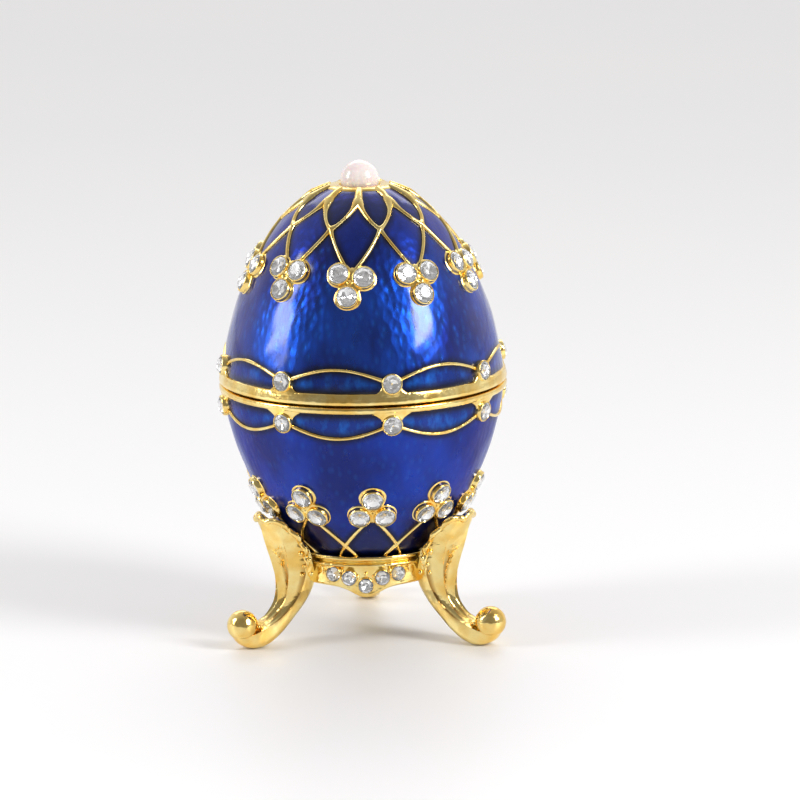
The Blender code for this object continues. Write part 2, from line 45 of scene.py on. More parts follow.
egg = {
    "seamRadius": 21.1, "seamHeight": 38.8324,
    "lidLength": 30.1, "lidBelly": 1.64, "lidCrown": 0.475,
    "bowlLength": 31.3, "bowlBelly": 1.6, "bowlCrown": 0.587,
}


def unit(vectors):
    # each vector divided by its length
    return vectors / np.linalg.norm(vectors, axis=-1, keepdims=True)


def eggRadius(height):
    # radius at a height over the seam: seamRadius * (1 - share^belly)^crown
    lid = height > 0
    share = np.clip(np.where(lid, height / egg["lidLength"], -height / egg["bowlLength"]), 0, 1)
    belly = np.where(lid, egg["lidBelly"], egg["bowlBelly"])
    crown = np.where(lid, egg["lidCrown"], egg["bowlCrown"])
    return egg["seamRadius"] * (1 - share ** belly) ** crown


def onEgg(azimuth, height, lift=0.0):
    # point of the wall at an azimuth and a height over the seam, moved out along the normal by lift
    azimuth, height, lift = np.broadcast_arrays(*(np.asarray(a, float) for a in (azimuth, height, lift)))
    turn, step = np.radians(azimuth), 0.01
    slope = (eggRadius(height + step) - eggRadius(height - step)) / (2 * step)
    normal = unit(np.stack([np.sin(turn), -np.cos(turn), -slope], -1))
    radius = eggRadius(height)
    point = np.stack([radius * np.sin(turn), axisY - radius * np.cos(turn), height + egg["seamHeight"]], -1)
    return point + normal * lift[..., None], normal


def evenHeights(low, high, count):
    # heights that lie evenly spaced along the curved wall
    fine = np.linspace(low, high, 2000)
    run = np.append(0, np.cumsum(np.hypot(np.diff(fine), np.diff(eggRadius(fine)))))
    return np.interp(np.linspace(0, run[-1], count), run, fine)


def hill(distance, height, reach):
    # soft swelling: height * exp(-(distance / reach)^2)
    return height * np.exp(-(distance / reach) ** 2)


def smoothLine(points, each, closed=False):
    # Catmull-Rom curve through the rows of an array, with so many steps from each row to the next
    points = np.asarray(points, float)
    count = len(points)
    spans = count if closed else count - 1
    at = np.arange(spans * each + (0 if closed else 1)) / each
    first = np.minimum(at.astype(int), spans - 1)
    t = (at - first).reshape((-1,) + (1,) * (points.ndim - 1))

    def row(offset):
        index = first + offset
        return points[index % count] if closed else points[np.clip(index, 0, count - 1)]

    a, b, c, d = row(-1), row(0), row(1), row(2)
    return b + 0.5 * t * (c - a + t * (2 * a - 5 * b + 4 * c - d + t * (3 * (b - c) + d - a)))


def surface(points, poles=False, **values):
    # quads between neighbours in a grid of closed rows: the last row meets the first, or else both
    # ends are poles, each a fan to its row's middle; values are kept for each point
    rows, columns = points.shape[:2]
    i = np.arange(rows - 1 if poles else rows)[:, None]
    j = np.arange(columns)[None, :]
    below, beside = (i + 1) % rows, (j + 1) % columns
    quads = np.stack(np.broadcast_arrays(i * columns + j, i * columns + beside, below * columns + beside,
                                         below * columns + j), -1).reshape(-1, 4)
    flat, tris = points.reshape(-1, 3), np.zeros((0, 3), int)
    if poles:
        k = np.arange(columns)
        nextK, last, count = (k + 1) % columns, (rows - 1) * columns, rows * columns
        flat = np.concatenate([flat, points[0].mean(0)[None], points[-1].mean(0)[None]])
        tris = np.concatenate([np.stack([nextK, k, k * 0 + count], -1),
                               np.stack([last + k, last + nextK, k * 0 + count + 1], -1)])
        values = {key: np.append(v, [v[0], v[-1]]) for key, v in values.items()}
    # every form is closed, so it is turned right side out by the sign of its volume
    halves = ((0, 0), (1, 2), (2, 3))  # corners of the two triangles in a quad
    corners = [np.concatenate([flat[quads[:, x]], flat[quads[:, y]]]) for x, y in halves]
    volume = (corners[0] * np.cross(corners[1], corners[2])).sum()
    volume += (flat[tris[:, 0]] * np.cross(flat[tris[:, 1]], flat[tris[:, 2]])).sum()
    if volume < 0:
        quads, tris = quads[:, ::-1], tris[:, ::-1]
    return {"points": flat, "quads": quads, "tris": tris, "material": 0, "values": values}


def makePiece(name, parts, materials, replaces=(), sharp=None):
    # the parts become one mesh that rides on the root body; edges over the angle sharp are hard, 0 is flat
    start, loops, sizes, slots = 0, [], [], []
    for part in parts:
        for key in ("quads", "tris"):
            loops.append((part[key] + start).ravel())
            sizes.append(np.full(len(part[key]), part[key].shape[1]))
            slots.append(np.full(len(part[key]), part["material"]))
        start += len(part["points"])
    loops, sizes, slots = np.concatenate(loops), np.concatenate(sizes), np.concatenate(slots)
    mesh = bpy.data.meshes.new(name)
    mesh.vertices.add(start)
    mesh.vertices.foreach_set("co", (np.concatenate([p["points"] for p in parts]) * mm).ravel())
    mesh.loops.add(len(loops))
    mesh.loops.foreach_set("vertex_index", loops.astype(np.int32))
    mesh.polygons.add(len(sizes))
    mesh.polygons.foreach_set("loop_start", (np.cumsum(sizes) - sizes).astype(np.int32))
    mesh.polygons.foreach_set("material_index", slots.astype(np.int32))
    mesh.update(calc_edges=True)
    for key in sorted(set().union(*(p["values"] for p in parts))):
        layer = mesh.attributes.new(key, "FLOAT", "POINT")
        layer.data.foreach_set("value", np.concatenate(
            [p["values"].get(key, np.zeros(len(p["points"]))) for p in parts]).astype(np.float32))
    mesh.polygons.foreach_set("use_smooth", np.full(len(sizes), sharp != 0))
    if sharp:
        mesh.set_sharp_from_angle(angle=math.radians(sharp))
    for material in materials:
        mesh.materials.append(material)
    piece = bpy.data.objects.new(name, mesh)
    bpy.context.scene.collection.objects.link(piece)
    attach(piece, "root")
    if replaces:
        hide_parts(*replaces)


def circle(steps):
    # angles once round, as a row
    return np.linspace(0, 2 * np.pi, steps, endpoint=False)[None, :]


def aroundAxis(turn, radius, height):
    # x = radius * sin, y = axis - radius * cos, z = height
    return np.stack([radius * np.sin(turn), axisY - radius * np.cos(turn), height + 0 * turn], -1)


def turned(profile, poles=False):
    # a profile of radius and height carried once round the egg's axis
    profile = np.asarray(profile, float)
    return surface(aroundAxis(circle(240), profile[:, :1], profile[:, 1:2]), poles)


def goldLine(azimuth, height, width, rise):
    # oval cord laid on the wall: centre + side * width / 2 * cos + normal * rise * sin
    centre, normal = onEgg(azimuth, height)
    side = unit(np.cross(normal, np.gradient(centre, axis=0)))
    turn = circle(10)[..., None]
    across, up = width[:, None, None], rise[:, None, None]
    rows = centre[:, None] + side[:, None] * np.cos(turn) * across / 2 + normal[:, None] * np.sin(turn) * up
    return surface(rows, poles=True)


def uneven(count, seed, share):
    # a slow random wave about 1, as on a line laid by hand
    knots = np.random.default_rng(seed).normal(0, share, max(4, count // 5))
    return 1 + np.interp(np.linspace(0, len(knots) - 1, count), np.arange(len(knots)), knots)


def standing(azimuth, height):
    # frame on the wall: middle, along the girth, up the egg, outwards
    middle, outwards = onEgg(azimuth, height)
    turn = np.radians(azimuth)
    girth = np.stack([np.cos(turn), np.sin(turn), 0 * turn], -1)
    return middle, girth, np.cross(outwards, girth), outwards


def collar(place, profile, steps=28):
    # a closed profile carried round a stone: middle + (girth * cos + up * sin) * radius + outwards * lift
    middle, girth, up, out = place
    turn = circle(steps)[..., None]
    radius, lift = profile[:, :1, None], profile[:, 1:2, None]
    return surface(middle + (girth * np.cos(turn) + up * np.sin(turn)) * radius + out * lift)


def newMaterial(name, **sockets):
    # Principled shader with fixed values on its own sockets, where _ stands for a space
    material = bpy.data.materials.new(name)
    material.use_nodes = True
    nodes, links = material.node_tree.nodes, material.node_tree.links
    shader = nodes["Principled BSDF"]
    for key, value in sockets.items():
        shader.inputs[key.replace("_", " ")].default_value = value
    return material, nodes, links, shader


def texture(nodes, links, kind, scale, stretch=(1, 1, 1), **settings):
    # a texture on Object coordinates, scale is in features per millimetre
    place = nodes.new("ShaderNodeTexCoord")
    mapping = nodes.new("ShaderNodeMapping")
    mapping.inputs["Scale"].default_value = [s / mm for s in stretch]
    node = nodes.new("ShaderNodeTex" + kind)
    node.inputs["Scale"].default_value = scale
    for key, value in settings.items():
        if key in node.inputs:
            node.inputs[key].default_value = value
        else:
            setattr(node, key, value)
    links.new(place.outputs["Object"], mapping.inputs["Vector"])
    links.new(mapping.outputs["Vector"], node.inputs["Vector"])
    return node


def stored(nodes, key):
    # a value that the mesh keeps for each point
    node = nodes.new("ShaderNodeAttribute")
    node.attribute_name = key
    return node.outputs["Fac"]


def mapped(nodes, links, source, low, high, toLow, toHigh):
    # low to high becomes toLow to toHigh, held at both ends
    node = nodes.new("ShaderNodeMapRange")
    for key, value in (("From Min", low), ("From Max", high), ("To Min", toLow), ("To Max", toHigh)):
        node.inputs[key].default_value = value
    links.new(source, node.inputs["Value"])
    return node.outputs["Result"]


def mixed(nodes, links, share, first, second):
    # colour between two, where either may be a colour or a socket
    node = nodes.new("ShaderNodeMix")
    node.data_type = "RGBA"
    for socket, value in ((node.inputs[6], first), (node.inputs[7], second)):
        if isinstance(value, tuple):
            socket.default_value = (*value, 1)
        else:
            links.new(value, socket)
    links.new(share, node.inputs[0])
    return node.outputs[2]


def bumped(nodes, links, height, strength, depth, before=None):
    # a bump of so many millimetres, over another bump if there is one
    node = nodes.new("ShaderNodeBump")
    node.inputs["Strength"].default_value = strength
    node.inputs["Distance"].default_value = depth * mm
    links.new(height, node.inputs["Height"])
    if before is not None:
        links.new(before, node.inputs["Normal"])
    return node.outputs["Normal"]


goldLook = {  # scales are features per millimetre, depths are millimetres
    # the third colour is dark brown painted shade for the grooves of the cast gold
    "bright": (1.0, 0.81, 0.34), "deep": (0.94, 0.62, 0.16), "grooveShade": (0.34, 0.15, 0.02),
    "clouds": 0.35, "scratches": 2.2, "scratchDepth": 0.03, "lumps": 0.55, "lumpDepth": 0.35,
    "smooth": 0.1, "rough": 0.24,
}


def goldMaterial(name, lumps, grooveShade=False):
    # gold in two tones, unevenly polished, with the broad lumps of a casting under fine scratches
    material, nodes, links, shader = newMaterial(name, Metallic=1.0, Roughness=0.16)
    look = goldLook
    cloud = texture(nodes, links, "Noise", look["clouds"], Detail=4.0)
    tone = mapped(nodes, links, cloud.outputs["Fac"], 0.36, 0.62, 0, 1)
    colour = mixed(nodes, links, tone, look["deep"], look["bright"])
    if grooveShade:  # painted shade in the grooves, in patches
        patchy = mapped(nodes, links, cloud.outputs["Fac"], 0.3, 0.6, 0.45, 1)
        depth = nodes.new("ShaderNodeMath")
        depth.operation = "MULTIPLY"
        links.new(stored(nodes, "groove"), depth.inputs[0])
        links.new(patchy, depth.inputs[1])
        colour = mixed(nodes, links, depth.outputs[0], colour, look["grooveShade"])
    links.new(colour, shader.inputs["Base Color"])
    fine = texture(nodes, links, "Noise", look["scratches"], Detail=3.0)
    polish = mapped(nodes, links, fine.outputs["Fac"], 0.3, 0.7, look["smooth"], look["rough"])
    links.new(polish, shader.inputs["Roughness"])
    broad = texture(nodes, links, "Noise", look["lumps"], Detail=2.0)
    under = bumped(nodes, links, broad.outputs["Fac"], lumps, look["lumpDepth"])
    surfaceBump = bumped(nodes, links, fine.outputs["Fac"], 0.15, look["scratchDepth"], under)
    links.new(surfaceBump, shader.inputs["Normal"])
    return material


enamelLook = {  # colours, then scales in features per millimetre and depths in millimetres
    "deep": (0.001, 0.012, 0.17), "bright": (0.01, 0.20, 0.80),
    "petal": (0.006, 0.010, 0.085), "diamond": (0.003, 0.020, 0.26), "band": (0.001, 0.028, 0.24),
    # the edge colour is near-black painted shade, laid next to the gold lines and the rim
    "edge": (0.001, 0.002, 0.02), "zoneShare": 0.85,
    "drops": 0.95, "dropDepth": 0.22, "grain": 0.5, "grainDepth": 0.25, "clouds": 0.13,
    "waves": 0.22, "waveDepth": 0.3, "smooth": 0.24, "rough": 0.42,
}


def enamelMaterial(name, hammer, main, coat):
    # coloured foil under a clear glossy coat: the foil is hammered, the coat stays almost smooth
    material, nodes, links, shader = newMaterial(
        name, Metallic=0.85, Coat_Weight=coat, Coat_Roughness=0.12, Coat_IOR=1.5,
        Specular_Tint=(0.25, 0.38, 0.90, 1))
    look = enamelLook
    drops = texture(nodes, links, "Voronoi", look["drops"], (1, 1, 0.55), feature="SMOOTH_F1",
                    Smoothness=0.45)
    grain = texture(nodes, links, "Noise", look["grain"], (1, 1, 0.5), Detail=5.0, Roughness=0.6)
    cloud = texture(nodes, links, "Noise", look["clouds"], (1, 1, 0.6), Detail=3.0)
    tone = mapped(nodes, links, cloud.outputs["Fac"], 0.38, 0.64, 0, 1)
    colour = mixed(nodes, links, tone, look["deep"], main)
    glint = mapped(nodes, links, drops.outputs["Distance"], 0.05, 0.42, 0.4 * hammer, 0)
    colour = mixed(nodes, links, glint, colour, look["bright"])
    azure = mapped(nodes, links, grain.outputs["Fac"], 0.47, 0.72, 0, 0.7)
    bandColour = mixed(nodes, links, azure, look["band"], look["bright"])
    for key, zoneColour in (("petal", look["petal"]), ("diamond", look["diamond"]), ("band", bandColour)):
        share = mapped(nodes, links, stored(nodes, key), 0, 1, 0, look["zoneShare"])
        colour = mixed(nodes, links, share, colour, zoneColour)
    # painted shade: the enamel goes almost black next to the gold lines and the rim
    colour = mixed(nodes, links, stored(nodes, "lineShade"), colour, look["edge"])
    links.new(colour, shader.inputs["Base Color"])
    polish = mapped(nodes, links, grain.outputs["Fac"], 0.3, 0.7, look["smooth"], look["rough"])
    links.new(polish, shader.inputs["Roughness"])
    under = bumped(nodes, links, drops.outputs["Distance"], hammer, look["dropDepth"])
    foilBump = bumped(nodes, links, grain.outputs["Fac"], 0.5 * hammer, look["grainDepth"], under)
    links.new(foilBump, shader.inputs["Normal"])
    wave = texture(nodes, links, "Noise", look["waves"], (1, 1, 0.7), Detail=1.0)
    coatBump = bumped(nodes, links, wave.outputs["Fac"], 0.12, look["waveDepth"])
    links.new(coatBump, shader.inputs["Coat Normal"])
    return material


gold = goldMaterial("polished_gold", lumps=0.3)
# the stand's gold gets painted shade in the grooves of its legs
castGold = goldMaterial("cast_gold", lumps=0.6, grooveShade=True)
lidEnamel = enamelMaterial("hammered_enamel", hammer=0.5, main=(0.002, 0.055, 0.42), coat=1.0)
bowlEnamel = enamelMaterial("mottled_enamel", hammer=0.25, main=(0.001, 0.032, 0.36), coat=0.5)

crystal, nodes, links, shader = newMaterial(
    "clear_crystal", Base_Color=(1, 1, 1, 1), Transmission_Weight=1.0, Roughness=0.0, IOR=1.58)
speck = texture(nodes, links, "Noise", 1.5, Detail=2.0)
links.new(mapped(nodes, links, speck.outputs["Fac"], 0.3, 0.7, 0.0, 0.03), shader.inputs["Roughness"])
foil, nodes, links, shader = newMaterial("silver_foil", Metallic=0.76, Roughness=0.07)
speck = texture(nodes, links, "Noise", 1.2, Detail=2.0)
links.new(mixed(nodes, links, speck.outputs["Fac"], (0.95, 0.96, 0.98), (1.0, 1.0, 0.99)),
          shader.inputs["Base Color"])
pearlLustre, nodes, links, shader = newMaterial(
    "pearl_lustre", Roughness=0.22, Coat_Weight=0.6, Coat_Roughness=0.08, Subsurface_Weight=0.15,
    Subsurface_Scale=0.001, Sheen_Weight=0.2)
cloud = texture(nodes, links, "Noise", 0.35, Detail=3.0, Distortion=0.6)
tone = mapped(nodes, links, cloud.outputs["Fac"], 0.35, 0.65, 0, 1)
links.new(mixed(nodes, links, tone, (0.90, 0.76, 0.76), (0.95, 0.88, 0.84)), shader.inputs["Base Color"])
links.new(bumped(nodes, links, cloud.outputs["Fac"], 0.15, 0.05), shader.inputs["Normal"])
print("materials ready")

# Gold lines on the egg: heights count from the seam, leans and shifts are one for each cluster
lattice = {
    "count": 10, "lidTurn": -5.3, "bowlTurn": 4.2,
    "cupHeight": 29.543, "forkHeight": 28.07, "lidNode": 24.5, "lidCluster": 17.6,
    "bowlCluster": -17.0, "bowlNode": -22.9, "bowlRunOn": 1.45, "crossing": 0.69,
    "spread": 2.15, "footShare": 0.4, "lineWidth": 0.61, "lineRise": 0.32, "lineUneven": 0.08,
    "spokeWidth": 1.05, "spokeFlare": 0.55, "bowPower": 0.8, "twist": (0, 2.0, 4.5),
    "lidLeans": (-8, 1, -2, 3, -3, 4, -2, 2, -4, -4), "bowlLeans": (0, 1, -3, 2, -2, 3, -1, 2, 3, -4),
    "lidShifts": (-0.3, -0.3, 0.1, -0.1, 0.15, 0, -0.15, 0.1, -0.1, 0.2),
    "bowlShifts": (0.5, 0.5, 0.1, -0.1, 0.2, 0.1, -0.1, 0.1, 0.2, 0.5),
}
band = {"count": 8, "turn": 11.84, "lid": 3.2, "bowl": -2.8, "rise": 2.1, "width": 0.52}
halfPitch = 180 / lattice["count"]
bandPitch = 360 / band["count"]


def twist(height):
    # the petals are laid a little askew, more towards the cup
    levels = [lattice["lidCluster"], lattice["lidNode"], lattice["cupHeight"]]
    return np.interp(height, levels, lattice["twist"])


def latticeLines():
    # the lid's lattice, each line as azimuth, height and width: a spoke down from the cup, which forks into
    # two petal sides bowed by 1 - (1 - t)^bowPower, and from their nodes a straight zigzag to the clusters
    lines = []
    cup, fork, node = lattice["cupHeight"], lattice["forkHeight"], lattice["lidNode"]
    foot = lattice["lidCluster"] + lattice["spread"] * lattice["footShare"]
    for number in range(lattice["count"]):
        middle = lattice["lidTurn"] + 2 * halfPitch * number
        t = np.linspace(0, 1, 8)
        width = lattice["spokeWidth"] + lattice["spokeFlare"] * t ** 2
        lines.append((middle + 0 * t, cup - 0.2 + t * (fork - cup + 0.1), width))
        for way in (-1, 1):
            t = np.linspace(0, 1, 26)
            width = lattice["lineWidth"] + hill(t, 1.0, 0.26) + hill(1 - t, 0.35, 0.07)
            bow = halfPitch * (1 - (1 - t) ** lattice["bowPower"])
            lines.append((middle + way * bow, fork + t * (node - fork), width))
            t = np.linspace(0, 1, 22)
            width = lattice["lineWidth"] + hill(t, 0.28, 0.07) + hill(1 - t, 0.2, 0.12)
            lines.append((middle + way * halfPitch * (1 - t), node + t * (foot - node), width))
    return [(azimuth + twist(height), height, width) for azimuth, height, width in lines]


def bowlLines():
    # the zigzag under the bowl's clusters, which runs on below its crossings to the ring
    lines = []
    node, foot = lattice["bowlNode"], lattice["bowlCluster"] - lattice["spread"] * lattice["footShare"]
    for number in range(lattice["count"]):
        middle = lattice["bowlTurn"] + 2 * halfPitch * number
        for way in (-1, 1):
            t = np.linspace(0, 1, 26)
            width = lattice["lineWidth"] * 0.9 + hill(t - lattice["crossing"], 0.25, 0.06)
            t = t * lattice["bowlRunOn"]
            lines.append((middle + way * halfPitch * t, foot + t * (node - foot), width))
    return lines


def scallops(stoneHeight, rise):
    # arches from stone to stone: height = stone + rise * sin
    lines = []
    for number in range(band["count"]):
        t = np.linspace(0, 1, 40)
        width = band["width"] + hill(np.minimum(t, 1 - t), 0.3, 0.09)
        lines.append((band["turn"] + bandPitch * (number + t), stoneHeight + rise * np.sin(np.pi * t), width))
    return lines


lidLines, bottomLines = latticeLines(), bowlLines()
lidArches, bowlArches = scallops(band["lid"], band["rise"]), scallops(band["bowl"], -band["rise"])

shell = {
    "columns": 400, "lidRows": 110, "bowlRows": 96, "innerStep": 6, "depth": 0.6,
    "lidLow": 0.5, "bowlHigh": -0.4, "bowlLow": -30.4, "lidRimTop": 1.95, "bowlRimFoot": -1.25,
    "ripple": 0.045, "fade": 1.5, "shadeStart": 0.3, "shadeReach": 0.9, "shadePower": 0.9,
    "dents": (  # share, waves round and their slant and start, waves up and their start
        (1.0, 9, 0.21, 0.0, 0.42, 1.3), (0.7, 17, -0.33, 2.0, 0.71, 0.0), (0.5, 5, 0.0, 0.8, 0.29, 0.5)),
}


def enamelShell(low, high, rows, lines, zones):
    # the egg's wall plus ripple * the sum of share * sin(waves round) * sin(waves up), which fades at both
    # ends, closed by a plain inner wall; each point keeps its zone and a painted shade that grows near a gold
    # line
    azimuth = np.linspace(-180, 180, shell["columns"], endpoint=False)[None, :]
    height = evenHeights(low, high, rows)[:, None]
    turn = np.radians(azimuth)
    dents = sum(share * np.sin(around * turn + slant * height + start) * np.sin(up * height + upStart)
                for share, around, slant, start, up, upStart in shell["dents"])
    ends = np.minimum(1, np.minimum(height - low, high - height) / shell["fade"])
    outer, _ = onEgg(azimuth, height, shell["ripple"] * dents * ends)
    inner, _ = onEgg(azimuth, height[::-shell["innerStep"]], -shell["depth"])
    cords = np.concatenate([onEgg(a, h)[0] for a, h in lines])
    near = np.concatenate([  # in blocks, so that the table of distances stays small
        ((block[:, None] - cords[None]) ** 2).sum(-1).min(1)
        for block in np.array_split(outer.reshape(-1, 3), 80)])
    # painted shade: darkest right beside a gold line or the rim, fading out further away
    away = np.sqrt(near) - shell["shadeStart"]
    lineShade = np.clip(1 - away / shell["shadeReach"], 0, 1) ** shell["shadePower"]
    plain = np.zeros(inner.shape[0] * inner.shape[1])
    values = {key: np.append(np.broadcast_to(zone, outer.shape[:2]).ravel(), plain)
              for key, zone in zones(azimuth, height).items()}
    values["lineShade"] = np.append(lineShade, plain)
    return surface(np.concatenate([outer, inner]), **values)


def fromMiddle(azimuth, middle):
    # degrees from the nearest middle of a diamond
    return np.abs((azimuth - middle + halfPitch) % (2 * halfPitch) - halfPitch)


def arch(azimuth):
    # sin along the arch from one stone of the band to the next
    return np.sin(np.pi * ((azimuth - band["turn"]) / bandPitch % 1))


def lidZones(azimuth, height):
    # petals lie over their bowed sides, diamonds between those and the straight zigzag
    away = fromMiddle(azimuth - twist(height), lattice["lidTurn"])
    low = lattice["lidCluster"] + (lattice["lidNode"] - lattice["lidCluster"]) * away / halfPitch
    t = 1 - np.clip((halfPitch - away) / halfPitch, 0, 1) ** (1 / lattice["bowPower"])
    high = lattice["forkHeight"] + (lattice["lidNode"] - lattice["forkHeight"]) * t
    return {"petal": (height > high) * 1.0, "diamond": ((height > low) & (height <= high)) * 1.0,
            "band": (height < band["lid"] + band["rise"] * arch(azimuth)) * 1.0}


def bowlZones(azimuth, height):
    # the cells under the zigzag are as dark as the petals, and there are no other diamonds
    away = fromMiddle(azimuth, lattice["bowlTurn"])
    high = lattice["bowlCluster"] + (lattice["bowlNode"] - lattice["bowlCluster"]) * away / halfPitch
    return {"petal": (height < high) * 1.0, "diamond": 0.0 * height * azimuth,
            "band": (height > band["bowl"] - band["rise"] * arch(azimuth)) * 1.0}


def darkLines(lines, rimHeight):
    # where shade is painted into the enamel: along the gold lines and along the rim
    rimTurn = np.linspace(-180, 180, 300)
    return [line[:2] for line in lines] + [(rimTurn, 0 * rimTurn + rimHeight)]


lidShell = enamelShell(shell["lidLow"], lattice["cupHeight"], shell["lidRows"],
                       darkLines(lidLines + lidArches, shell["lidRimTop"]), lidZones)
makePiece("lid_enamel", [lidShell], [lidEnamel])
bowlShell = enamelShell(shell["bowlLow"], shell["bowlHigh"], shell["bowlRows"],
                        darkLines(bottomLines + bowlArches, shell["bowlRimFoot"]), bowlZones)
makePiece("bowl_enamel", [bowlShell], [bowlEnamel])
print("enamel laid")

# Stones and their settings: sizes of stones are radii, and heights count from the wall
setting = {
    "plateLift": 0.22, "plateEdge": 0.46, "wall": 0.30, "top": 0.80, "sunk": 0.3,
    "girdle": 0.76, "table": 1.21, "culet": 0.32, "tableShare": 0.58,
    "clusterStone": 1.5, "bandStone": 1.35, "apronStone": 1.1, "apronWall": 0.22, "apronTop": 0.74,
    "webReach": 2.6, "webAngle": 30, "prong": 0.62, "prongRadius": 0.85, "hole": 0.55, "holeRadius": 0.3,
    "neckHalf": 1.55, "neckFlare": 0.75, "neckLength": 1.7, "neckRise": 0.46,
}


def collarProfile(radius, wall=setting["wall"], top=setting["top"]):
    # radius and lift of a collar's section, rubbed over the stone's edge at its top
    foot = -setting["sunk"]
    points = [(radius - 0.1, foot), (radius - 0.08, top - 0.35), (radius + 0.02, top - 0.04),
              (radius + wall * 0.35, top), (radius + wall * 0.7, top - 0.2), (radius + wall * 0.85, foot)]
    return smoothLine(points, 2, closed=True)


def brilliant(place, radius, spin):
    # round brilliant: rings of eight or sixteen corners at middle + radius * share * (girth * cos + up * sin)
    # + outwards * lift, for table, star, girdle's two edges and pavilion, then the table's middle and the tip
    middle, girth, up, out = place
    top, girdle, culet = setting["table"], setting["girdle"], setting["culet"]

    def ring(count, share, lift, offset=0.0):
        turn = 2 * np.pi * (np.arange(count) + offset) / count + spin
        spread = girth * np.cos(turn)[:, None] + up * np.sin(turn)[:, None]
        return middle + spread * radius * share + out * lift

    table, star = ring(8, setting["tableShare"], top), ring(8, 0.8, girdle + (top - girdle) * 0.52, 0.5)
    edge, foot = ring(16, 1.0, girdle), ring(16, 1.0, girdle - 0.04)
    pavilion = ring(8, 0.55, girdle + (culet - girdle) * 0.52, 0.5)
    points = np.concatenate([table, star, edge, foot, pavilion, [middle + out * top, middle + out * culet]])
    n = np.arange(8)  # numbers of the corners, ring by ring
    m = (n + 1) % 8
    tableMiddle, tip = 56 + 0 * n, 57 + 0 * n
    s, s1, s2, s3 = 8 + n, 16 + 2 * n, 17 + 2 * n, 16 + 2 * m  # star point, girdle's upper corners
    p, p1, p2, p3 = 48 + n, 32 + 2 * n, 33 + 2 * n, 32 + 2 * m  # pavilion corner, girdle's lower corners
    crownFaces = [(n, m, tableMiddle), (m, n, s), (s, n, s1), (m, s, s3), (s, s1, s2), (s, s2, s3)]
    rearFaces = [(p1, p, p2), (p2, p, p3), (p, tip, p3), (48 + m, p3, tip)]
    k = np.arange(16)
    nextK = (k + 1) % 16
    girdleQuads = np.stack([16 + k, 32 + k, 32 + nextK, 16 + nextK], -1)
    front = {"points": points, "quads": girdleQuads, "material": 0, "values": {},
             "tris": np.concatenate([np.stack(t, -1) for t in crownFaces])}
    rear = {"points": np.zeros((0, 3)), "quads": np.zeros((0, 4), int), "material": 1, "values": {},
            "tris": np.concatenate([np.stack(t, -1) for t in rearFaces]) - len(points)}
    return front, rear


def setStone(name, place, radius, replaces=()):
    # each stone is turned by its name, so that no two sparkle alike
    spin = sum(map(ord, name)) * 0.37
    parts = list(brilliant(place, radius, spin))
    makePiece("stone_" + name, parts, [crystal, foil], replaces, sharp=0)


def trefoilPlate(azimuth, height, direction, lean):
    # plate under three stones, laid on the wall: its outline is the outermost of three circles and of a web
    # towards the lattice; its lift is plateLift * (1 - share^10) + hills for prong and web - hill for hole
    _, _, up, _ = standing(azimuth, height)
    turn = circle(60)[0]
    reach, size = lattice["spread"], setting["clusterStone"] + setting["plateEdge"]
    outline = np.zeros_like(turn)
    for angle in np.radians((-90, 30, 150)) * direction + math.radians(lean):
        off = turn - angle
        inside = size ** 2 - (reach * np.sin(off)) ** 2
        hit = reach * np.cos(off) + np.sqrt(np.maximum(inside, 0))
        outline = np.maximum(outline, np.where((inside > 0) & (np.cos(off) > 0), hit, 0))
    share = np.array([0.06, 0.12, 0.2, 0.32, 0.45, 0.6, 0.75, 0.88, 0.95, 1.0, 1.0])[:, None]
    askew = np.degrees(turn) - 90 * direction - lean
    web = hill((askew + 180) % 360 - 180, 1.0, setting["webAngle"])
    outline = np.maximum(outline, setting["webReach"] * web)
    far = share * outline
    lift = setting["plateLift"] * (1 - share ** 10) + hill(far, setting["prong"], setting["prongRadius"])
    lift = lift + web * hill(far - 1.6, 0.3, 0.8) - hill(far, setting["hole"], setting["holeRadius"])
    lift[-1] = -setting["sunk"]
    across, along = far * np.cos(turn), far * np.sin(turn)
    grid, _ = onEgg(azimuth + np.degrees(across / eggRadius(height)), height + along * up[2], lift)
    return surface(grid, poles=True)


def clusterStones(turnAngle, level, direction, half):
    # three stones to each cluster, towards the lattice to the right and left, and one low
    parts = []
    for number in range(lattice["count"]):
        azimuth, height = turnAngle + 2 * halfPitch * number, level + lattice[half + "Shifts"][number]
        lean = lattice[half + "Leans"][number]
        _, _, up, _ = standing(azimuth, height)
        parts.append(trefoilPlate(azimuth, height, direction, lean))
        for word, angle in (("low", -90), ("right", 30), ("left", 150)):
            angle = math.radians(angle * direction + lean)
            across, along = lattice["spread"] * math.cos(angle), lattice["spread"] * math.sin(angle)
            place = standing(azimuth + np.degrees(across / eggRadius(height)), height + along * up[2])
            parts.append(collar(place, collarProfile(setting["clusterStone"])))
            name = f"{half}_cluster_stone_{number + 1}_{word}"
            setStone(name, place, setting["clusterStone"], [name] if half == "lid" else ())
    return parts


def neck(azimuth, height, way):
    # flat bar from under a stone to the rim: across = (half + flare * reach^1.8) * cos, so that its sides
    # curve in, and lift = rise * sin^0.5 with the sign of sin
    reach = np.linspace(0, setting["neckLength"], 9)[:, None]
    turn = circle(40)
    across = (setting["neckHalf"] + setting["neckFlare"] * reach ** 1.8) * np.cos(turn)
    lift = setting["neckRise"] * np.sign(np.sin(turn)) * np.abs(np.sin(turn)) ** 0.5
    along = height + way * (0.5 + 0.82 * reach)
    return onEgg(azimuth + np.degrees(across / egg["seamRadius"]), along, lift)[0]


